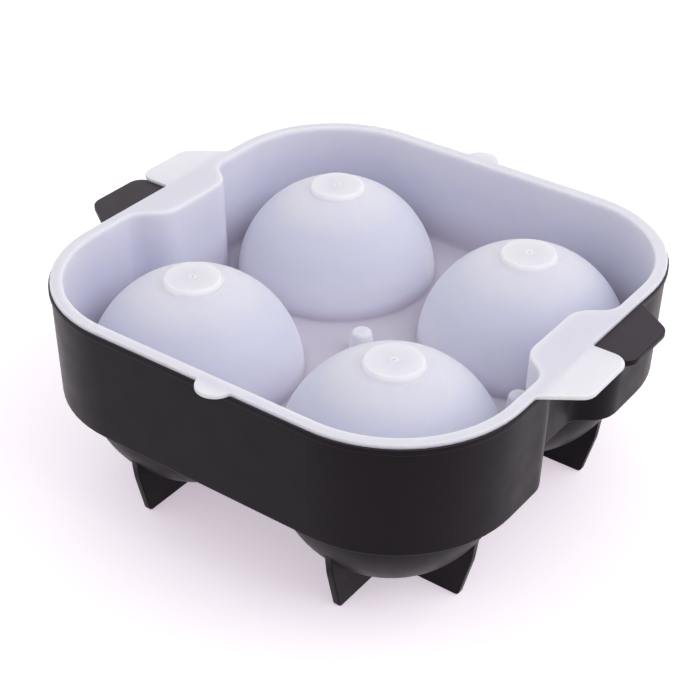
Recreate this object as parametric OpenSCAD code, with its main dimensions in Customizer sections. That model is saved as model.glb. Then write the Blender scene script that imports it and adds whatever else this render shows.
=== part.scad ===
// Ice ball tray for four balls: a translucent upper tray of domes nests in a soft black lower tray
// of cups. Z is up, the feet stand on Z = 0, and the two grip ends lie along X.

/* [Ice balls] */
// Diameter of one ice ball
ball_d = 63.5; // [56:0.5:66]
// Distance between the centres of neighbouring balls
pitch = 72; // [71.5:0.5:80]

/* [Tub outline] */
// Radius of the tub's four corners at the rim
corner_r = 40; // [34:0.5:42]
// Slope of the side walls, in degrees
wall_draft = 1.3; // [0:0.1:2]
// Floor left between a dome and the side wall
side_gap = 3.4; // [2.5:0.1:6]
// Height of the flange's underside above the crown discs
crown_gap = 0.7; // [0.3:0.1:4]

/* [Lower tray] */
// Thickness of the cups
cup_wall = 2.5; // [2:0.1:2.7]
// Thickness of the lower tray's side wall
base_wall = 2.2; // [1.6:0.1:3]
// Thickness of the lower tray's floor
base_floor = 1.5; // [1.2:0.05:3]
// How far the side wall reaches below the lower tray's floor
skirt = 0.3; // [0.2:0.05:2]
// How far the cups' mouths and the domes' feet stand out of their floors
seal_rise = 0.3; // [0.2:0.05:0.6]
// Thickness of the lip round the lower tray's rim
lip_t = 1.8; // [1:0.1:3]
// How far the lip stands out past the upper tray's flange
lip_out = 0.5; // [0.2:0.1:1.5]

/* [Feet] */
// Height of the cups above the table
foot_drop = 3.9; // [2:0.1:8]
// Thickness of a foot blade
foot_t = 2.5; // [1.6:0.1:4]
// Depth below the parting plane at which a foot leaves its cup
foot_climb = 16.5; // [12:0.5:22]
// How far a foot's tip stands in from where the foot leaves the cup
foot_lean = 4.5; // [2:0.1:8]
// Rounding of a foot's tip
foot_tip_r = 1.5; // [0.5:0.1:2.5]

/* [Upper tray] */
// Thickness of the domes
dome_wall = 1.25; // [1:0.05:2]
// Thickness of the upper tray's side wall
lid_wall = 1.25; // [1:0.05:2]
// Thickness of the upper tray's floor
lid_floor = 1.25; // [1:0.05:2.5]
// Thickness of the flange that lies on the lower tray's rim
flange_t = 1.25; // [1:0.05:2.5]
// Room between the two side walls
nest_gap = 0.35; // [0.3:0.05:0.8]

/* [Dome crowns] */
// Diameter of the flat disc on each dome
disc_d = 18.5; // [12:0.5:26]
// Height of the disc above the dome's top
disc_rise = 0.3; // [0.2:0.1:1.5]
// Rounding of the disc's edge
disc_edge_r = 1.4; // [0.3:0.1:1.5]
// Diameter of the vent at the middle of the disc
vent_d = 1; // [0.8:0.1:3]

/* [Floor pips] */
// Distance of the two end pips from the middle one
pip_step = 56; // [52:0.5:57]
// Height of a pip above the parting plane
pip_h = 9.9; // [6:0.1:14]
// Diameter of a pip at its foot
pip_foot_d = 9; // [7:0.1:10]
// Diameter of a pip at its shoulder
pip_top_d = 5.8; // [4:0.1:6.5]
// Thickness of a pip's wall
pip_wall = 1; // [0.8:0.05:1.4]

/* [Finger notches] */
// Depth of the notch in each grip end
notch_depth = 9; // [6:0.5:10]
// Half the width of the notch's back
notch_half = 11.5; // [10:0.5:13]
// Rounding of the notch's mouth
mouth_r = 11; // [9:0.5:14]
// Rounding of the notch's back corners
back_r = 4.5; // [2:0.5:6]

/* [Grip tabs] */
// How far the upper tray's tab stands out from the rim
lid_tab_out = 12; // [8:0.5:16]
// How far the lower tray's tab stands out from the rim
base_tab_out = 12.6; // [8:0.1:16]
// Thickness of the lower tray's tab and of its web over the notch
web_t = 1.8; // [1:0.1:3]
// Distance from the end's middle to the outer end of a tab at the rim
tab_root = 30; // [26:0.5:34]
// Distance from the end's middle to the outer corner of a tab
tab_tip = 21.5; // [18:0.5:26]
// How far a tab passes the end's middle
tab_cross = 0.5; // [0:0.1:3]
// Rounding of a tab's corners
tab_r = 5; // [2:0.5:5]
// Diameter of the thumb tabs on the other two sides
thumb_d = 11.4; // [8:0.2:16]
// How far a thumb tab stands out from the rim
thumb_out = 4.7; // [3:0.1:8]
// Distance of a thumb tab from the middle of its side
thumb_off = 6.2; // [0:0.1:20]

/* [Hidden] */
$fn = 64;

ball_r = ball_d / 2;
cup_r = ball_r + cup_wall;
dome_r = ball_r + dome_wall;
disc_top = dome_r + disc_rise;
well_depth = disc_top + crown_gap;

// Heights: foot of the lower side wall, parting plane, underside and top of the flange
part_z = foot_drop + cup_r;
base_z = part_z - seal_rise - base_floor - skirt;
rim_z = part_z + well_depth;
top_z = rim_z + flange_t;

// Half the width over the flange, worked out from the ball to the edge
floor_inset = well_depth * tan(wall_draft);
half_w = to_step(pitch / 2 + dome_r + side_gap + lid_wall + nest_gap + base_wall + floor_inset);

// The notch's sides slope as the long side of a 3-4-5 triangle, so its bends join without a step:
// the angle of a bend, what a bend of radius 1 takes off its sides, and a side's width and length by depth
notch_turn = atan2(4, 3);
bend_cut = 1 / 2;
side_width = 3 / 4;
side_length = 5 / 4;
mouth_end = notch_half + notch_depth * side_width + mouth_r * bend_cut;
side_run = notch_depth * side_length - (mouth_r + back_r) * bend_cut;

// How far a flat piece of the rim reaches in over the wall that carries it
root_lap = base_wall / 2;
arc_steps = 8;
// Size of a block that takes in the whole tray
reach = 4 * half_w;

lower_color = [0.16, 0.15, 0.16];
upper_color = [0.90, 0.90, 0.95, 0.85];

// One turn of the tub's outline, clockwise from above: [straight run, bend radius, bend angle].
// A positive angle bends round the tub, a negative one bends back out of a notch.
half_loop = [
    [2 * (half_w - corner_r), corner_r, 90],
    [half_w - corner_r - mouth_end, mouth_r, notch_turn],
    [side_run, back_r, -notch_turn],
    [2 * (notch_half - back_r * bend_cut), back_r, -notch_turn],
    [side_run, mouth_r, notch_turn],
    [half_w - corner_r - mouth_end, corner_r, 90]
];

// A length rounded to a hundredth
function to_step(length) = round(length * 100) / 100;

// Offset of the drafted wall at height z, from its place at the rim
function inset(z) = -(rim_z - z) * tan(wall_draft);

// Corners [x, y, radius] of the notch on the +X side, from -Y to +Y, on the outline moved out by u
function notch_corners(u) = let (
    back = notch_half - u * bend_cut,
    mouth = back + notch_depth * side_width
) [
    [half_w + u, -mouth, mouth_r + u],
    [half_w + u - notch_depth, -back, back_r - u],
    [half_w + u - notch_depth, back, back_r - u],
    [half_w + u, mouth, mouth_r + u]
];

// Corners of one half of the whole outline, moved out by u
function half_corners(u) = concat(
    [[half_w + u, -half_w - u, corner_r + u]],
    notch_corners(u),
    [[half_w + u, half_w + u, corner_r + u]]
);

// Corners turned half a turn about Z
function turned(corners) = [for (c = corners) [-c.x, -c.y, c.z]];

// Point of a corner, and the direction from one point to another
function flat(c) = [c.x, c.y];
function toward(a, b) = (b - a) / norm(b - a);

// Arc that rounds corner b between its neighbours a and c
function arc(a, b, c) = let (
    to_a = toward(flat(b), flat(a)),
    to_c = toward(flat(b), flat(c)),
    half = acos(to_a * to_c) / 2,
    middle = toward([0, 0], to_a + to_c),
    centre = flat(b) + middle * b.z / sin(half),
    start = toward(centre, flat(b) + to_a * b.z / tan(half))
) [for (i = [0 : arc_steps]) let (t = (180 - 2 * half) * i / arc_steps)
    centre + b.z * (start * cos(t) - to_a * sin(t))];

// Outline of corners [x, y, radius], with an arc wherever the radius isn't 0
function rounded(corners) = let (n = len(corners)) [for (i = [0 : n - 1])
    each corners[i].z == 0 ? [flat(corners[i])]
        : arc(corners[(i + n - 1) % n], corners[i], corners[(i + 1) % n])];

// Puts the children at both ends of the tray
module both_ends() {
    for (turn = [0, 180])
        rotate(turn) children();
}

// Puts the children at the four ball centres, on the parting plane
module at_balls() {
    for (x = [-1, 1], y = [-1, 1])
        translate([x * pitch / 2, y * pitch / 2, part_z]) children();
}

// Carries the children on from the end of a bend
module past_bend(radius, angle) {
    side = angle > 0 ? -1 : 1;
    translate([0, side * radius, 0]) rotate(side * abs(angle)) translate([0, -side * radius, 0]) children();
}

// Quarter of a ring about Z, cut back to the given angle from +Y
module ring_part(angle) {
    if (angle == 90)
        rotate_extrude(angle = 90) children();
    else
        intersection() {
            rotate_extrude(angle = 90) children();
            rotate(-angle) translate([-reach, 0, -reach]) cube([reach, reach, 2 * reach]);
        }
}

// One bend of a swept profile
module bend(radius, angle) {
    if (angle > 0)
        translate([0, -radius, 0]) ring_part(angle) translate([radius, 0]) children();
    else
        translate([0, radius, 0]) mirror([0, 1, 0]) ring_part(-angle)
            translate([radius, 0]) mirror([1, 0]) children();
}

// Sweeps a profile (out from the outline, up) along the legs of a path that starts towards +X
module sweep(legs, i = 0) {
    if (i < len(legs)) {
        run = legs[i][0];
        radius = legs[i][1];
        angle = legs[i][2];
        rotate([90, 0, 90]) linear_extrude(run) children();
        translate([run, 0, 0]) {
            bend(radius, angle) children();
            past_bend(radius, angle) sweep(legs, i + 1) children();
        }
    }
}

// A wall profile taken all the way round the tub
module tub_sweep() {
    translate([corner_r - half_w, half_w, 0]) sweep(concat(half_loop, half_loop)) children();
}

// Floor from height z up, with its edge at the middle of a side wall
module floor_plate(wall_middle, z, thickness) {
    edge = wall_middle + inset(z);
    translate([0, 0, z]) linear_extrude(thickness)
        polygon(rounded(concat(half_corners(edge), turned(half_corners(edge)))));
}

// Flat web that closes a notch at the rim, out to the given edge
module notch_web(edge, z, thickness) {
    end_y = mouth_end + root_lap;
    inner_x = half_w - root_lap;
    ends = [[inner_x, end_y, 0], [half_w + edge, end_y, 0], [half_w + edge, -end_y, 0], [inner_x, -end_y, 0]];
    translate([0, 0, z]) linear_extrude(thickness)
        polygon(rounded(concat(notch_corners(-root_lap), ends)));
}

// Grip tab on the -Y half of the +X end
module grip_tab(out, z, thickness) {
    slope = (tab_root - tab_tip) / out;
    translate([half_w, 0, z]) linear_extrude(thickness)
        polygon(rounded([
            [-root_lap, -tab_root - slope * root_lap, 0],
            [out, -tab_tip, tab_r],
            [out, tab_cross, tab_r],
            [-root_lap, tab_cross, 0]
        ]));
}

// Two crossed blades under a cup, each with a foot at both ends
module feet() {
    top_x = sqrt(cup_r * cup_r - foot_climb * foot_climb);
    tip_x = top_x - foot_lean;
    blade = [
        [-top_x, -foot_climb, 0],
        [-tip_x, -part_z, foot_tip_r],
        [tip_x, -part_z, foot_tip_r],
        [top_x, -foot_climb, 0]
    ];
    for (turn = [0, 90])
        rotate(turn) rotate([90, 0, 0]) linear_extrude(foot_t, center = true)
            polygon(rounded(blade));
}

// Solid half ball below the parting plane
module cup_form() {
    rotate_extrude() intersection() {
        circle(cup_r);
        translate([0, -cup_r]) square(cup_r);
    }
}

// Solid half ball above the parting plane, with the flat disc on its crown
module dome_form() {
    rotate_extrude() {
        intersection() {
            circle(dome_r);
            square(dome_r);
        }
        polygon(rounded([
            [0, ball_r / 2, 0],
            [disc_d / 2, ball_r / 2, 0],
            [disc_d / 2, disc_top, disc_edge_r],
            [0, disc_top, 0]
        ]));
    }
}

// Outline of a pip from its axis, drawn in by a wall all round
module pip_profile(wall) {
    shoulder_r = pip_top_d / 2 - wall;
    polygon(rounded([
        [0, -wall, 0],
        [pip_foot_d / 2 - wall, -wall, 0],
        [shoulder_r, pip_h - wall, shoulder_r / 2],
        [0, pip_h - wall, 0]
    ]));
}

// Puts the children at the pips in the row between the domes, on the parting plane
module at_pips() {
    for (i = [-1 : 1])
        translate([i * pip_step, 0, part_z]) children();
}

// Black silicone tray: side wall with its lip, floor, four cups on crossed feet, and a tab at each end
module lower_tray() {
    color(lower_color) difference() {
        union() {
            tub_sweep() polygon([
                [inset(base_z), base_z],
                [inset(rim_z - lip_t), rim_z - lip_t],
                [lip_out, rim_z - lip_t],
                [lip_out, rim_z],
                [-base_wall, rim_z],
                [inset(base_z) - base_wall, base_z]
            ]);
            floor_plate(-base_wall / 2, base_z + skirt, base_floor);
            at_balls() cup_form();
            at_balls() feet();
            both_ends() notch_web(lip_out, rim_z - web_t, web_t);
            both_ends() mirror([0, 1, 0]) grip_tab(base_tab_out, rim_z - web_t, web_t);
        }
        at_balls() sphere(ball_r);
    }
}

// Translucent plastic tray: flange with its tabs, side wall, floor, four domes and three pips
module upper_tray() {
    wall_u = -base_wall - nest_gap;
    color(upper_color) difference() {
        union() {
            tub_sweep() polygon([
                [wall_u + inset(part_z), part_z],
                [wall_u, rim_z],
                [0, rim_z],
                [0, top_z],
                [wall_u - lid_wall, top_z],
                [wall_u - lid_wall + inset(part_z), part_z]
            ]);
            floor_plate(wall_u - lid_wall / 2, part_z + seal_rise, lid_floor);
            at_balls() dome_form();
            at_pips() rotate_extrude() pip_profile(0);
            both_ends() notch_web(0, rim_z, flange_t);
            both_ends() grip_tab(lid_tab_out, rim_z, flange_t);
            both_ends() translate([thumb_off, thumb_d / 2 - thumb_out - half_w, rim_z])
                cylinder(d = thumb_d, h = flange_t);
        }
        at_balls() sphere(ball_r);
        at_balls() cylinder(d = vent_d, h = disc_top + crown_gap);
        at_pips() rotate_extrude() pip_profile(pip_wall);
    }
}

lower_tray();
upper_tray();
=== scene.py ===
import math

import bmesh
import bpy
import numpy as np
from mathutils import Matrix, Vector
from mathutils.geometry import delaunay_2d_cdt


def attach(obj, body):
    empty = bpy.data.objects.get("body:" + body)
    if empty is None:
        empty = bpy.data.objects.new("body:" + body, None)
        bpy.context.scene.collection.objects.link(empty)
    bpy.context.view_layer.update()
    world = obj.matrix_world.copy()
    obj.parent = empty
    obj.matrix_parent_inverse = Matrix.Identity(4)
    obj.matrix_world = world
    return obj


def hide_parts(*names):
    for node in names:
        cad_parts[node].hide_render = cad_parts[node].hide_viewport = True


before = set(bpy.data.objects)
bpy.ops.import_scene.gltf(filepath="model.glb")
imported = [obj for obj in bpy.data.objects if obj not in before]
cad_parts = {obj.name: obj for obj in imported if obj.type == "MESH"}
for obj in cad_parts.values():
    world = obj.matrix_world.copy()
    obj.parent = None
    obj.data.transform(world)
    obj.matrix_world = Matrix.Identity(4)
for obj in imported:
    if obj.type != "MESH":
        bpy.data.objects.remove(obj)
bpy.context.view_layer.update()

# Lower tray: one moulding of soft black silicone. A drafted side wall with a narrow lip carries the floor,
# four half-ball cups on crossed feet, a finger notch in each grip end, and a tab and a web at the rim there.
# Sizes are in millimetres, and the mesh is made in metres.
MM = 0.001
half_w, corner_r = 76.97, 40.0
notch_depth, notch_half, notch_mouth_r, notch_back_r = 9.0, 11.5, 11.0, 4.5
notch_spread = 0.75
draft = math.tan(math.radians(1.3))
pitch, ball_r, cup_r = 72.0, 31.75, 34.25
part_z, rim_z = 38.15, 72.15
base_z, base_under, base_top = 36.05, 36.35, 37.85
base_wall, lip_out, lip_t = 2.2, 0.5, 1.8
tab_root, tab_tip, tab_cross, tab_r = 30.0, 21.5, 0.5, 5.0
tab_root_r, tab_cross_r = 2.0, 0.8
base_tab_out = 12.6
round_segments, sharp_deg = 96, 40
ball_centres = [(x * pitch / 2, y * pitch / 2) for x in (-1, 1) for y in (-1, 1)]


def rounded(corners, closed=True, step=5.0):
    """Points and outward normals of a line with arcs at its corners (x, y, radius), counter-clockwise."""
    points, normals = [], []
    touching = 1e-6

    def add(point, normal):
        if not points or np.linalg.norm(point - points[-1]) > touching:
            points.append(point)
            normals.append(normal)

    for i, (x, y, radius) in enumerate(corners):
        here = np.array((x, y))
        if not closed and i in (0, len(corners) - 1):
            add(here, np.zeros(2))
            continue
        go_in = here - np.array(corners[i - 1][:2])
        go_out = np.array(corners[(i + 1) % len(corners)][:2]) - here
        go_in, go_out = go_in / np.linalg.norm(go_in), go_out / np.linalg.norm(go_out)
        turn = math.atan2(go_in[0] * go_out[1] - go_in[1] * go_out[0], go_in @ go_out)
        side = math.copysign(1, turn)
        out = np.array((go_in[1], -go_in[0]))
        centre = here - go_in * radius * math.tan(abs(turn) / 2) - side * out * radius
        steps = max(2, math.ceil(abs(math.degrees(turn)) / step))
        for k in range(steps + 1):
            c, s = math.cos(turn * k / steps), math.sin(turn * k / steps)
            normal = np.array((c * out[0] - s * out[1], s * out[0] + c * out[1]))
            add(centre + side * normal * radius, normal)
    if closed and np.linalg.norm(points[0] - points[-1]) < touching:
        points.pop()
        normals.pop()
    return points, normals


def held(line, margin=1.0, closed=True):
    """The line with extra points near both ends of each long straight run, which keep its shading flat."""
    points, normals = [], []
    count = len(line[0])
    for i in range(count):
        here, normal = line[0][i], line[1][i]
        points.append(here)
        normals.append(normal)
        if i == count - 1 and not closed:
            break
        along = line[0][(i + 1) % count] - here
        length = np.linalg.norm(along)
        if length > 4 * margin:
            for part in (margin / length, 1 - margin / length):
                points.append(here + along * part)
                normals.append(normal)
    return np.array(points), np.array(normals)


def profile(*corners, step=15.0, margin=0.5):
    """Points of an open section with its corners rounded."""
    return held(rounded(corners, closed=False, step=step), margin, closed=False)[0]


def turned(corners):
    """The corners after half a turn about Z."""
    return [(-x, -y, radius) for x, y, radius in corners]


def ring(bm, places):
    """New vertices at places in millimetres."""
    return [bm.verts.new(Vector(p) * MM) for p in places]


def skin(bm, rings):
    """Quads between each ring of points and the next."""
    for a, b in zip(rings, rings[1:]):
        for i in range(len(a)):
            j = (i + 1) % len(a)
            bm.faces.new((a[i], a[j], b[j], b[i]))
    return rings


def swept(bm, outline, section):
    """A skin round an outline, through each point (out, up) of a section."""
    points, normals = outline
    return skin(bm, [ring(bm, [(*p, z) for p in points + normals * out]) for out, z in section])


def turned_skin(bm, centre, section):
    """A skin round a vertical axis, through each point (radius, up) of a section."""
    angles = np.linspace(0, 2 * math.pi, round_segments, endpoint=False)
    return skin(bm, [
        ring(bm, [(centre[0] + r * math.cos(a), centre[1] + r * math.sin(a), z) for a in angles])
        for r, z in section
    ])


def close_pole(bm, last, centre, z):
    """A fan from the last ring of a turned skin to its axis."""
    pole = bm.verts.new(Vector((*centre, z)) * MM)
    for i in range(len(last)):
        bm.faces.new((last[i], last[(i + 1) % len(last)], pole))


def fill(bm, outer, holes=()):
    """Flat triangles between an outer ring and the rings of its holes."""
    verts, rings = [], []
    for loop in (outer, *holes):
        rings.append(list(range(len(verts), len(verts) + len(loop))))
        verts += loop
    inside_with_holes, tolerance = 2, 1e-9
    found = delaunay_2d_cdt([v.co.xy for v in verts], [], rings, inside_with_holes, tolerance)
    faces, sources = found[2], found[3]
    for face in faces:
        bm.faces.new([verts[sources[i][0]] for i in face])


def ball_section(radius, first_deg, last_deg, sign, steps):
    """Points (radius, up) of a ball's section, from first to last degrees off the parting plane."""
    angles = np.radians(np.linspace(first_deg, last_deg, steps))
    return np.column_stack((radius * np.cos(angles), part_z + sign * radius * np.sin(angles)))


def notch(x):
    """Corners of the finger notch in the end at +X."""
    mouth = notch_half + notch_depth * notch_spread
    return [(x, -mouth, notch_mouth_r), (x - notch_depth, -notch_half, notch_back_r),
            (x - notch_depth, notch_half, notch_back_r), (x, mouth, notch_mouth_r)]


def inset(z):
    """How far the drafted wall stands in at height z."""
    return -(rim_z - z) * draft


def finished(bm, name):
    """Object of a closed mesh with outward faces, smooth but for its sharp edges."""
    bmesh.ops.recalc_face_normals(bm, faces=bm.faces)
    mesh = bpy.data.meshes.new(name)
    bm.to_mesh(mesh)
    bm.free()
    mesh.shade_smooth()
    mesh.set_sharp_from_angle(angle=math.radians(sharp_deg))
    made = bpy.data.objects.new(name, mesh)
    bpy.context.scene.collection.objects.link(made)
    return made


half_outline = [(half_w, -half_w, corner_r), *notch(half_w), (half_w, half_w, corner_r)]
wall_line = held(rounded(half_outline + turned(half_outline)))
lip_x = half_w + lip_out
lip_root = tab_root - (tab_root - tab_tip) / base_tab_out * lip_out
half_lip = [
    (lip_x, -lip_x, corner_r + lip_out),
    (lip_x, -tab_cross, tab_cross_r),
    (half_w + base_tab_out, -tab_cross, tab_r),
    (half_w + base_tab_out, tab_tip, tab_r),
    (lip_x, lip_root, tab_root_r),
    (lip_x, lip_x, corner_r + lip_out),
]
lip_line = held(rounded(half_lip + turned(half_lip)))

# Each section below ends in a narrow flat strip, from which the flat faces are filled.
lip_edge_r, lip_under_r, lip_strip, lip_under_strip = 0.35, 0.3, 0.75, 0.4
skirt_r, skirt_inner_r, skirt_strip = 0.55, 0.12, 0.6
tub_edge_r, tub_fillet, tub_rim_strip, tub_floor_strip = 0.5, 0.8, 0.9, 1.6
lip_z = rim_z - lip_t
skirt_in, tub_in = inset(base_z) - base_wall, inset(base_top) - base_wall
tray = bmesh.new()
lip_edge = swept(tray, lip_line, profile(
    (-lip_strip, rim_z, 0), (0, rim_z, lip_edge_r), (0, lip_z, lip_under_r), (-lip_under_strip, lip_z, 0)))
outer_wall = swept(tray, wall_line, profile(
    (inset(lip_z), lip_z, 0), (inset(base_z), base_z, skirt_r), (skirt_in, base_z, skirt_inner_r),
    (skirt_in, base_under, skirt_inner_r), (skirt_in - skirt_strip, base_under, 0)))
inner_wall = swept(tray, wall_line, profile(
    (tub_rim_strip - base_wall, rim_z, 0), (-base_wall, rim_z, tub_edge_r), (tub_in, base_top, tub_fillet),
    (tub_in - tub_floor_strip, base_top, 0)))
fill(tray, lip_edge[0], [inner_wall[0]])
fill(tray, lip_edge[-1], [outer_wall[0]])

mouth_strip, seal_foot_r, seal_edge_r, mouth_edge_r = 0.75, 0.12, 0.15, 0.3
mouth_lean, mouth_lead = 0.01, 0.8
belly_strip, belly_fillet, belly_lead = 0.35, 0.8, 1.0
mouth_deg, belly_deg, pole_deg, ball_rings = 1.4, 4.4, 88, 44
belly_r = cup_r * math.cos(math.radians(belly_deg))
mouth = profile(
    (cup_r + mouth_strip, base_top, 0), (cup_r, base_top, seal_foot_r), (cup_r, part_z, seal_edge_r),
    (ball_r, part_z, mouth_edge_r), (ball_r - mouth_lean, part_z - mouth_lead, 0))
belly_root = profile(
    (belly_r + belly_fillet + belly_strip, base_under, 0), (belly_r, base_under, belly_fillet),
    (belly_r, base_under - belly_lead, 0))
cup_inside = np.vstack((mouth[:-1], ball_section(ball_r, mouth_deg, pole_deg, -1, ball_rings)))
cup_outside = np.vstack((belly_root[:-1], ball_section(cup_r, belly_deg, pole_deg, -1, ball_rings)))
mouths, bellies = [], []
for centre in ball_centres:
    rings = turned_skin(tray, centre, cup_inside)
    close_pole(tray, rings[-1], centre, part_z - ball_r)
    mouths.append(rings[0])
    rings = turned_skin(tray, centre, cup_outside)
    close_pole(tray, rings[-1], centre, part_z - cup_r)
    bellies.append(rings[0])
fill(tray, inner_wall[-1], mouths)
fill(tray, outer_wall[-1], bellies)
lower_tray = finished(tray, "lower_tray_silicone")

# Crossed feet: two thin blades of the same silicone under each cup, moulded in one with it. Each blade leaves
# the cup upright, leans in to a rounded tip and stands on the table along its whole lower edge. Its top is
# buried in the cup's wall, and the two are joined into one skin.
foot_t, foot_edge_r, foot_strip = 2.5, 0.45, 0.3
foot_top, foot_bulge, foot_tip = (30.35, -14.0), (29.2, -23.5), (25.51, -part_z)
foot_top_r, foot_bulge_r, foot_tip_r = 0.2, 14.0, 1.4
buried_r, buried_corner_r, buried_deg, buried_points, hidden_r = 32.8, 0.5, 27, 25, 33.7
buried = [(buried_r * math.cos(a), buried_r * math.sin(a), buried_corner_r)
          for a in np.radians(np.linspace(-buried_deg, buried_deg - 180, buried_points))]
blade_line = held(rounded([
    (-foot_tip[0], foot_tip[1], foot_tip_r), (*foot_tip, foot_tip_r), (*foot_bulge, foot_bulge_r),
    (*foot_top, foot_top_r), *buried, (-foot_top[0], foot_top[1], foot_top_r),
    (-foot_bulge[0], foot_bulge[1], foot_bulge_r),
]))
blade_line[1][np.hypot(*blade_line[0].T) < hidden_r] = 0
blade_section = profile(
    (-foot_edge_r - foot_strip, foot_t / 2, 0), (0, foot_t / 2, foot_edge_r),
    (0, -foot_t / 2, foot_edge_r), (-foot_edge_r - foot_strip, -foot_t / 2, 0))
blade = bmesh.new()
sides = swept(blade, blade_line, blade_section)
fill(blade, sides[0])
fill(blade, sides[-1])
bmesh.ops.rotate(blade, matrix=Matrix.Rotation(math.pi / 2, 3, "X"), verts=blade.verts)
foot_blade = finished(blade, "foot_blade")

feet_tree = bpy.data.node_groups.new("crossed_feet", "GeometryNodeTree")
feet_tree.interface.new_socket("Geometry", in_out="OUTPUT", socket_type="NodeSocketGeometry")
feet_inputs = {
    name: feet_tree.interface.new_socket(name, in_out="INPUT", socket_type=kind)
    for name, kind in (
        ("Tray", "NodeSocketGeometry"), ("Blade", "NodeSocketObject"), ("Pitch", "NodeSocketFloat"),
        ("Height", "NodeSocketFloat"), ("Finish", "NodeSocketMaterial"))
}
new_node, link = feet_tree.nodes.new, feet_tree.links.new
given, result = new_node("NodeGroupInput"), new_node("NodeGroupOutput")
cup_points, lifted = new_node("GeometryNodeMeshGrid"), new_node("GeometryNodeTransform")
place, one_blade = new_node("ShaderNodeCombineXYZ"), new_node("GeometryNodeObjectInfo")
join, whole = new_node("GeometryNodeMeshBoolean"), new_node("GeometryNodeRealizeInstances")
painted = new_node("GeometryNodeSetMaterial")
cup_points.inputs["Vertices X"].default_value = 2
cup_points.inputs["Vertices Y"].default_value = 2
link(given.outputs["Pitch"], cup_points.inputs["Size X"])
link(given.outputs["Pitch"], cup_points.inputs["Size Y"])
link(given.outputs["Height"], place.inputs["Z"])
link(cup_points.outputs["Mesh"], lifted.inputs["Geometry"])
link(place.outputs["Vector"], lifted.inputs["Translation"])
link(given.outputs["Blade"], one_blade.inputs["Object"])
join.operation = "UNION"
join.solver = "MANIFOLD"
link(given.outputs["Tray"], join.inputs["Mesh 2"])
for quarter in (0, 1):
    stand, real = new_node("GeometryNodeInstanceOnPoints"), new_node("GeometryNodeRealizeInstances")
    stand.inputs["Rotation"].default_value = (0, 0, quarter * math.pi / 2)
    link(lifted.outputs["Geometry"], stand.inputs["Points"])
    link(one_blade.outputs["Geometry"], stand.inputs["Instance"])
    link(stand.outputs["Instances"], real.inputs["Geometry"])
    link(real.outputs["Geometry"], join.inputs["Mesh 2"])
link(join.outputs["Mesh"], whole.inputs["Geometry"])
link(whole.outputs["Geometry"], painted.inputs["Geometry"])
link(given.outputs["Finish"], painted.inputs["Material"])
link(painted.outputs["Geometry"], result.inputs["Geometry"])


def new_finish(name):
    """A material with its nodes, links and main shader."""
    made = bpy.data.materials.new(name)
    made.use_nodes = True
    return made, made.node_tree.nodes, made.node_tree.links, made.node_tree.nodes["Principled BSDF"]


def grain(nodes, links, where, scale, detail, low, high):
    """Noise on the piece's own coordinates, spread between two values."""
    noise, spread = nodes.new("ShaderNodeTexNoise"), nodes.new("ShaderNodeMapRange")
    noise.inputs["Scale"].default_value = scale
    noise.inputs["Detail"].default_value = detail
    links.new(where.outputs["Object"], noise.inputs["Vector"])
    spread.inputs["From Min"].default_value = 0.3
    spread.inputs["From Max"].default_value = 0.7
    spread.inputs["To Min"].default_value = low
    spread.inputs["To Max"].default_value = high
    links.new(noise.outputs["Fac"], spread.inputs["Value"])
    return spread.outputs["Result"]


def two_tone(nodes, links, factor, low, high):
    """A colour between two, by a factor."""
    mix = nodes.new("ShaderNodeMix")
    mix.data_type = "RGBA"
    mix.inputs["A"].default_value = (*low, 1)
    mix.inputs["B"].default_value = (*high, 1)
    links.new(factor, mix.inputs["Factor"])
    return mix.outputs["Result"]


def blended(nodes, links, factor, first, second):
    """A mix of two colour outputs, by a factor."""
    mix = nodes.new("ShaderNodeMix")
    mix.data_type = "RGBA"
    links.new(factor, mix.inputs["Factor"])
    links.new(first, mix.inputs["A"])
    links.new(second, mix.inputs["B"])
    return mix.outputs["Result"]


def roughened(nodes, links, shader, height, strength, depth):
    """Fine bumps on a shader."""
    bump = nodes.new("ShaderNodeBump")
    bump.inputs["Strength"].default_value = strength
    bump.inputs["Distance"].default_value = depth
    links.new(height, bump.inputs["Height"])
    links.new(bump.outputs["Normal"], shader.inputs["Normal"])


# The silicone is near black, with a grey painted light where it faces up.
silicone, nodes, links, shader = new_finish("black_silicone")
where = nodes.new("ShaderNodeTexCoord")
cloud = grain(nodes, links, where, 45, 5, 0, 1)
plain_tone = two_tone(nodes, links, cloud, (0.0015, 0.0012, 0.0017), (0.003, 0.0024, 0.0032))
painted_top_light_tone = two_tone(nodes, links, cloud, (0.034, 0.029, 0.035), (0.04, 0.034, 0.041))
# Painted light: faces that look up take a share of the grey tone, which grows as they turn up.
facing, upward = nodes.new("ShaderNodeNewGeometry"), nodes.new("ShaderNodeSeparateXYZ")
painted_top_light = nodes.new("ShaderNodeMapRange")
painted_top_light.inputs["From Min"].default_value = 0.4
painted_top_light.inputs["From Max"].default_value = 0.95
links.new(facing.outputs["Normal"], upward.inputs["Vector"])
links.new(upward.outputs["Z"], painted_top_light.inputs["Value"])
colour = blended(nodes, links, painted_top_light.outputs["Result"], plain_tone, painted_top_light_tone)
links.new(colour, shader.inputs["Base Color"])
links.new(grain(nodes, links, where, 120, 4, 0.36, 0.46), shader.inputs["Roughness"])
roughened(nodes, links, shader, grain(nodes, links, where, 2600, 3, 0, 1), 0.12, 0.12 * MM)
shader.inputs["IOR"].default_value = 1.42
shader.inputs["Specular IOR Level"].default_value = 0.17
shader.inputs["Specular Tint"].default_value = (1, 0.84, 1, 1)
shader.inputs["Sheen Weight"].default_value = 0.03
shader.inputs["Sheen Roughness"].default_value = 0.45
shader.inputs["Sheen Tint"].default_value = (1, 0.84, 1, 1)

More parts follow.
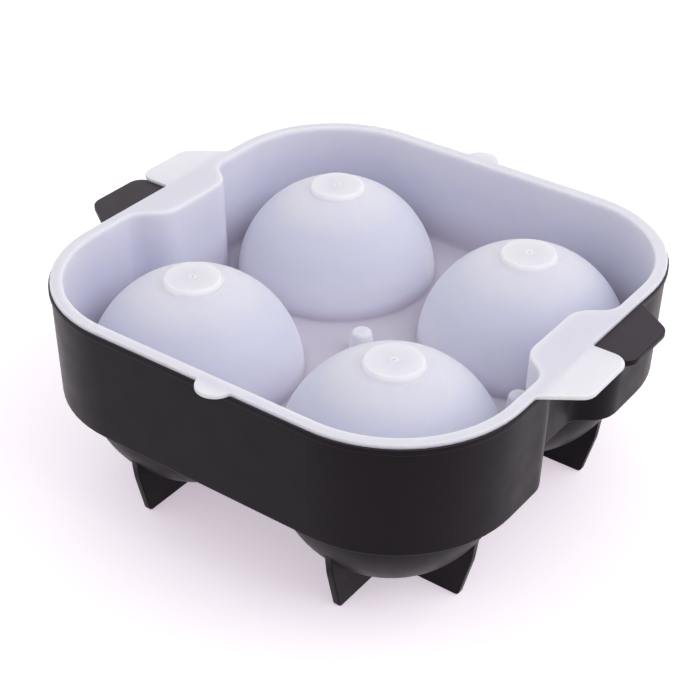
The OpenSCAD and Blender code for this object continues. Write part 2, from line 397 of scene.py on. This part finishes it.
footed = lower_tray.modifiers.new("crossed_feet", "NODES")
footed.node_group = feet_tree
feet_values = {"Blade": foot_blade, "Pitch": pitch * MM, "Height": part_z * MM, "Finish": silicone}
for name, value in feet_values.items():
    footed[feet_inputs[name].identifier] = value
bpy.context.view_layer.update()
whole_mesh = bpy.data.meshes.new_from_object(
    lower_tray.evaluated_get(bpy.context.evaluated_depsgraph_get()))
lower_tray.modifiers.clear()
lower_tray.data = whole_mesh
whole_mesh.name = "lower_tray_silicone"
whole_mesh.shade_smooth()
whole_mesh.set_sharp_from_angle(angle=math.radians(sharp_deg))
bpy.data.objects.remove(foot_blade)
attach(lower_tray, "lower_tray")
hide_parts("lower_tray")

# Upper tray: one thin moulding of translucent milky plastic that nests in the lower tray. Its flange lies on
# the lip, with a tab at each grip end and a small thumb tab on the other sides. The floor carries a row of
# three pips and four domes, each with a flat disc and a vent in a low raised ring on its crown.
top_z, lid_top, lid_under = 73.39, 39.7, 38.45
nest_gap, lid_wall, lid_tab_out = 0.35, 1.25, 12.0
thumb_r, thumb_out, thumb_off, thumb_root_r = 5.7, 4.68, 6.2, 0.8
thumb_in = thumb_r - thumb_out
thumb_lean = math.asin((thumb_in + thumb_root_r) / (thumb_r + thumb_root_r))
thumb_foot = thumb_r / math.cos(thumb_lean) - thumb_in * math.tan(thumb_lean)
thumb_head = thumb_r / math.cos(thumb_lean) - thumb_r * math.tan(thumb_lean)
half_flange = [
    (thumb_off - thumb_foot, -half_w, thumb_root_r),
    (thumb_off - thumb_head, -half_w - thumb_out, thumb_r),
    (thumb_off + thumb_head, -half_w - thumb_out, thumb_r),
    (thumb_off + thumb_foot, -half_w, thumb_root_r),
    (half_w, -half_w, corner_r),
    (half_w, -tab_root, tab_root_r),
    (half_w + lid_tab_out, -tab_tip, tab_r),
    (half_w + lid_tab_out, tab_cross, tab_r),
    (half_w, tab_cross, tab_cross_r),
    (half_w, half_w, corner_r),
]
flange_line = held(rounded(half_flange + turned(half_flange)))

# Four values on the vertices tell the material where to paint light and shade: painted light on the flange,
# painted shade at its edges, painted light and shade down the upright wall, and pale painted light on the pips
# and discs.
lid = bmesh.new()
painted_flange_light, edge, upright, pale = (
    lid.verts.layers.float.new(name) for name in ("painted_flange_light", "edge", "upright", "pale"))
flange_edge_r, flange_under_r, flange_strip, flange_under_strip = 0.4, 0.3, 1.0, 0.8
inner_edge_r, inner_fillet, inner_rim_strip, inner_floor_strip = 0.8, 1.4, 1.3, 1.6
outer_edge_r, outer_foot_r, outer_strip, seat_r, seat_strip = 0.3, 0.5, 0.7, 0.12, 0.6
edge_depth, inner_edge_share = 0.1, 0.5
wall_out = -base_wall - nest_gap
wall_in = wall_out - lid_wall
outer_foot, inner_foot = wall_out + inset(part_z), wall_in + inset(part_z)
flange_section = profile(
    (-flange_strip, top_z, 0), (0, top_z, flange_edge_r), (0, rim_z, flange_under_r),
    (-flange_under_strip, rim_z, 0))
flange_edge = swept(lid, flange_line, flange_section)
inner_section = profile(
    (wall_in + inner_rim_strip, top_z, 0), (wall_in, top_z, inner_edge_r), (inner_foot, lid_top, inner_fillet),
    (inner_foot - inner_floor_strip, lid_top, 0))
lid_inner = swept(lid, wall_line, inner_section)
lid_outer = swept(lid, wall_line, profile(
    (wall_out + outer_strip, rim_z, 0), (wall_out, rim_z, outer_edge_r), (outer_foot, part_z, outer_foot_r),
    (inner_foot, part_z, seat_r), (inner_foot, lid_under, seat_r), (inner_foot - seat_strip, lid_under, 0)))
# Down the inner rounding the flange's painted light gives way to the wall's tones, painted lighter at the top
# and shaded below, and the middle of the rounding gets painted shade that dims its highlight.
for (out, z), around in zip(inner_section, lid_inner):
    for v in around:
        v[upright] = min(1, (top_z - z) / inner_edge_r) if z > lid_top else 0
        v[painted_flange_light] = 1 - v[upright] if z > lid_top else 0
        v[edge] = inner_edge_share * math.sin(math.pi * v[upright])
# The flange gets painted light, and its outer edge and underside get painted shade.
for (out, z), around in zip(flange_section, flange_edge):
    for v in around:
        v[edge] = min(1, (top_z - z) / edge_depth)
        v[painted_flange_light] = 1
fill(lid, flange_edge[0], [lid_inner[0]])
fill(lid, flange_edge[-1], [lid_outer[0]])

dome_r, dome_deg, dome_rings = 33.0, 4.1, 36
dome_strip, dome_fillet, dome_lead = 0.35, 0.8, 1.2
disc_r, disc_top, disc_lean, disc_edge_r, disc_foot_r = 8.75, 33.3, 0.45, 0.5, 0.8
disc_lead, disc_clear_deg = 1.2, 0.4
collar_r, collar_h, collar_lean, collar_foot_r, collar_edge_r = 1.15, 0.22, 0.08, 0.12, 0.1
vent_r, vent_edge_r, vent_inner_r, vent_strip, vent_drop = 0.4, 0.15, 0.2, 1.2, 0.03
crown_inner_deg, foot_inner_deg = 84, 1.2
rest_lead, rest_inner_r, rest_outer_r, rest_root_r, rest_strip = 0.7, 0.2, 0.15, 0.12, 0.5
disc_z, vent_z = part_z + disc_top, part_z + ball_r
collar_z = disc_z + collar_h
dome_foot_r = dome_r * math.cos(math.radians(dome_deg))
disc_deg = math.degrees(math.acos((disc_r + disc_lead) / dome_r))
disc_foot = part_z + math.sqrt(dome_r ** 2 - (disc_r + disc_lean) ** 2)
dome_root = profile(
    (dome_foot_r + dome_fillet + dome_strip, lid_top, 0), (dome_foot_r, lid_top, dome_fillet),
    (dome_foot_r, lid_top + dome_lead, 0))
dome = ball_section(dome_r, dome_deg, disc_deg - disc_clear_deg, 1, dome_rings)
crown = profile(
    (*ball_section(dome_r, disc_deg, disc_deg, 1, 1)[0], 0), (disc_r + disc_lean, disc_foot, disc_foot_r),
    (disc_r - disc_lean, disc_z, disc_edge_r), (collar_r, disc_z, collar_foot_r),
    (collar_r - collar_lean, collar_z, collar_edge_r), (vent_r, collar_z, vent_edge_r),
    (vent_r, vent_z, vent_inner_r), (vent_r + vent_strip, vent_z - vent_drop, 0), margin=0.35)
dome_inside = ball_section(ball_r, crown_inner_deg, foot_inner_deg, 1, ball_rings)
dome_rest = profile(
    (ball_r, part_z + rest_lead, 0), (ball_r, part_z, rest_inner_r), (dome_r, part_z, rest_outer_r),
    (dome_r, lid_under, rest_root_r), (dome_r + rest_strip, lid_under, 0), margin=0.3)
dome_section = np.vstack((dome_root[:-1], dome, crown, dome_inside, dome_rest[1:]))
outer_skin_r = (ball_r + dome_r) / 2
# Pale painted light on the outer skin: round the vent, down the disc's side and in the crease at its foot,
# where shade would fall.
spot_fade, crease_fade, disc_edge_share = 0.4, 1.4, 0.15
pale_radii = (collar_r, collar_r + spot_fade, disc_r - disc_lean - disc_edge_r, disc_r - disc_lean,
              disc_r + disc_lean, disc_r + crease_fade)
pale_shares = (1, 0, 0, disc_edge_share, 1, 0)
tops, unders = [], []
for centre in ball_centres:
    rings = turned_skin(lid, centre, dome_section)
    for (r, z), around in zip(dome_section, rings):
        for v in around:
            if math.hypot(r, z - part_z) > outer_skin_r:
                v[pale] = np.interp(r, pale_radii, pale_shares)
    tops.append(rings[0])
    unders.append(rings[-1])

pip_step, pip_h, pip_wall = 56, 9.9, 1.0
pip_z = part_z + pip_h
pip_foot_r, pip_top_r, pip_lean, pip_flat = 4.5, 2.9, 0.2, 0.4
pip_strip, pip_fillet, pip_round = 0.5, 0.5, 1.4
hollow_edge_r, hollow_round, hollow_flat = 0.15, 0.8, 0.3
pip_first_pale, pip_top_fade = 3, 0.9
pip_outside = profile(
    (pip_foot_r + pip_strip, lid_top, 0), (pip_foot_r - pip_lean, lid_top, pip_fillet),
    (pip_top_r, pip_z, pip_round), (pip_flat, pip_z, 0), margin=0.3)
pip_inside = profile(
    (pip_foot_r - pip_wall + pip_strip, lid_under, 0), (pip_foot_r - pip_wall, lid_under, hollow_edge_r),
    (pip_top_r - pip_wall, pip_z - pip_wall, hollow_round), (hollow_flat, pip_z - pip_wall, 0), margin=0.3)
for centre in ((-pip_step, 0), (0, 0), (pip_step, 0)):
    rings = turned_skin(lid, centre, pip_outside)
    close_pole(lid, rings[-1], centre, pip_z)
    # Pale painted light on the pips' sides, fading on their rounded tops.
    for (r, z), around in zip(pip_outside[pip_first_pale:], rings[pip_first_pale:]):
        for v in around:
            v[pale] = 1 - pip_top_fade * max(0, 1 - (pip_z - z) / pip_round)
    tops.append(rings[0])
    rings = turned_skin(lid, centre, pip_inside)
    close_pole(lid, rings[-1], centre, pip_z - pip_wall)
    unders.append(rings[0])
fill(lid, lid_inner[-1], tops)
fill(lid, lid_outer[-1], unders)
upper_tray = finished(lid, "upper_tray_plastic")

# The plastic lets light through, and its tone is painted with that light and shade, changing with height from
# painted shade on the dim floor to painted light on the crowns.
milky, nodes, links, shader = new_finish("milky_plastic")
where, height = nodes.new("ShaderNodeTexCoord"), nodes.new("ShaderNodeSeparateXYZ")
links.new(where.outputs["Object"], height.inputs["Vector"])
cloud = grain(nodes, links, where, 30, 4, 0, 1)
# These tones are lit and shaded copies of one milky plastic: painted shade below, painted light above and on
# the flange, pips and discs, and painted shade at the flange's edges.
low_tone = two_tone(nodes, links, cloud, (0.565, 0.525, 0.615), (0.595, 0.555, 0.645))
foot_tone = two_tone(nodes, links, cloud, (0.80, 0.80, 0.915), (0.83, 0.83, 0.94))
mid_tone = two_tone(nodes, links, cloud, (0.68, 0.695, 0.825), (0.71, 0.725, 0.85))
crown_tone = two_tone(nodes, links, cloud, (0.83, 0.82, 0.88), (0.855, 0.845, 0.905))
disc_tone = two_tone(nodes, links, cloud, (0.80, 0.785, 0.83), (0.82, 0.805, 0.85))
wall_tone = two_tone(nodes, links, cloud, (0.72, 0.722, 0.86), (0.75, 0.752, 0.885))
rim_tone = two_tone(nodes, links, cloud, (0.79, 0.785, 0.865), (0.81, 0.805, 0.885))
painted_flange_light_tone = two_tone(nodes, links, cloud, (0.79, 0.78, 0.84), (0.81, 0.80, 0.86))
painted_edge_shade_tone = two_tone(nodes, links, cloud, (0.62, 0.612, 0.66), (0.64, 0.632, 0.68))
pale_tone = two_tone(nodes, links, cloud, (0.935, 0.925, 0.95), (0.95, 0.94, 0.965))


def changing_up(tone, *steps):
    """A tone that turns into others on the way up, each between two heights in millimetres."""
    for other, start, end in steps:
        above = nodes.new("ShaderNodeMapRange")
        above.interpolation_type = "SMOOTHSTEP"
        above.inputs["From Min"].default_value = start * MM
        above.inputs["From Max"].default_value = end * MM
        links.new(height.outputs["Z"], above.inputs["Value"])
        tone = blended(nodes, links, above.outputs["Result"], tone, other)
    return tone


def painted_by(name):
    """The mesh's own values of a name, from 0 to 1."""
    values = nodes.new("ShaderNodeAttribute")
    values.attribute_name = name
    return values.outputs["Fac"]


# Painted shade low down gives way to painted light higher up, on the domes and on the upright wall.
colour = changing_up(
    low_tone, (foot_tone, 39.5, 45), (mid_tone, 46, 56), (crown_tone, 62, 70), (disc_tone, 70.6, 71.3))
wall_colour = changing_up(low_tone, (wall_tone, 39, 56), (rim_tone, 60, 70.5))
# The flange's painted light, the edges' painted shade, the upright wall's painted light and shade and the pale
# painted light are laid over the height tones.
for name, tone in (("upright", wall_colour), ("painted_flange_light", painted_flange_light_tone), ("edge", painted_edge_shade_tone), ("pale", pale_tone)):
    colour = blended(nodes, links, painted_by(name), colour, tone)
links.new(colour, shader.inputs["Base Color"])
links.new(grain(nodes, links, where, 160, 4, 0.46, 0.56), shader.inputs["Roughness"])
roughened(nodes, links, shader, grain(nodes, links, where, 1800, 3, 0, 1), 0.06, 0.1 * MM)
shader.inputs["IOR"].default_value = 1.49
shader.inputs["Specular IOR Level"].default_value = 0.2
shader.inputs["Subsurface Weight"].default_value = 1.0
shader.inputs["Subsurface Radius"].default_value = (1.25, 1.3, 0.85)
shader.inputs["Subsurface Scale"].default_value = 3.5 * MM
upper_tray.data.materials.append(milky)
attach(upper_tray, "upper_tray")
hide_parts("upper_tray")

# Photograph's view: a camera before the front corner, half a metre away and looking down on the tray. It was
# fitted to the outlines of the domes, rims and cups, and it leans by almost a degree.
azimuth, elevation, roll = (math.radians(d) for d in (35.382, 33.927, 0.894))
target, distance = Vector((-3.27, -1.55, 40.17)) * MM, 499.7 * MM
focal_px, frame_px, sensor_mm = 1615.5, 700, 36
ahead = Vector((
    -math.sin(azimuth) * math.cos(elevation), math.cos(azimuth) * math.cos(elevation), -math.sin(elevation)))
level = Vector((math.cos(azimuth), math.sin(azimuth), 0))
rise = level.cross(ahead)
right = math.cos(roll) * level + math.sin(roll) * rise
up = -math.sin(roll) * level + math.cos(roll) * rise
camera = bpy.data.objects.new("camera", bpy.data.cameras.new("camera"))
camera.data.sensor_width = sensor_mm
camera.data.lens = sensor_mm * focal_px / frame_px
camera.data.clip_start = 0.01
aim = Matrix((right, up, -ahead)).transposed().to_4x4()
camera.matrix_world = Matrix.Translation(target - ahead * distance) @ aim
bpy.context.scene.collection.objects.link(camera)
bpy.context.scene.camera = camera

# Studio: a pale floor in a white room. The floor glows a little to the camera, so that it shows white round the
# tray's soft shadow, and one broad lamp stands high at the right.
floor_half = 3.0
floor_mesh = bpy.data.meshes.new("floor")
floor_mesh.from_pydata(
    [(x * floor_half, y * floor_half, 0) for x, y in ((-1, -1), (1, -1), (1, 1), (-1, 1))], [], [(0, 1, 2, 3)])
floor = bpy.data.objects.new("floor", floor_mesh)
bpy.context.scene.collection.objects.link(floor)


def seen_rays(nodes):
    """An output that is 1 on camera, glossy and transmission rays, and 0 on the rest."""
    path = nodes.new("ShaderNodeLightPath")
    total = path.outputs["Is Camera Ray"]
    for kind in ("Is Glossy Ray", "Is Transmission Ray"):
        both = nodes.new("ShaderNodeMath")
        both.operation = "MAXIMUM"
        nodes.id_data.links.new(total, both.inputs[0])
        nodes.id_data.links.new(path.outputs[kind], both.inputs[1])
        total = both.outputs["Value"]
    return total


floor_finish, nodes, links, shader = new_finish("pale_floor")
nodes.remove(shader)
matte, glow = nodes.new("ShaderNodeBsdfDiffuse"), nodes.new("ShaderNodeEmission")
sum_up = nodes.new("ShaderNodeAddShader")
matte.inputs["Color"].default_value = (0.8, 0.8, 0.8, 1)
glow.inputs["Color"].default_value = (0.47, 0.405, 0.47, 1)
links.new(seen_rays(nodes), glow.inputs["Strength"])
links.new(matte.outputs["BSDF"], sum_up.inputs[0])
links.new(glow.outputs["Emission"], sum_up.inputs[1])
links.new(sum_up.outputs["Shader"], nodes["Material Output"].inputs["Surface"])
floor_mesh.materials.append(floor_finish)

world = bpy.data.worlds.new("white_room")
world.use_nodes = True
bpy.context.scene.world = world
nodes, links = world.node_tree.nodes, world.node_tree.links
room, strength = nodes["Background"], nodes.new("ShaderNodeMapRange")
strength.inputs["To Min"].default_value = 0.85
strength.inputs["To Max"].default_value = 1.0
links.new(seen_rays(nodes), strength.inputs["Value"])
links.new(strength.outputs["Result"], room.inputs["Strength"])
room.inputs["Color"].default_value = (1, 1, 1, 1)

lamp_place, lamp_aim = Vector((1.1, 0.2, 1.15)), Vector((0, 0, 0.05))
light = bpy.data.lights.new("lamp_high", "AREA")
light.shape, light.size, light.energy = "SQUARE", 1.2, 7.5
lamp = bpy.data.objects.new("lamp_high", light)
lamp.location = lamp_place
lamp.rotation_euler = (lamp_aim - lamp_place).to_track_quat("-Z", "Y").to_euler()
bpy.context.scene.collection.objects.link(lamp)
bpy.context.scene.view_settings.view_transform = "Standard"
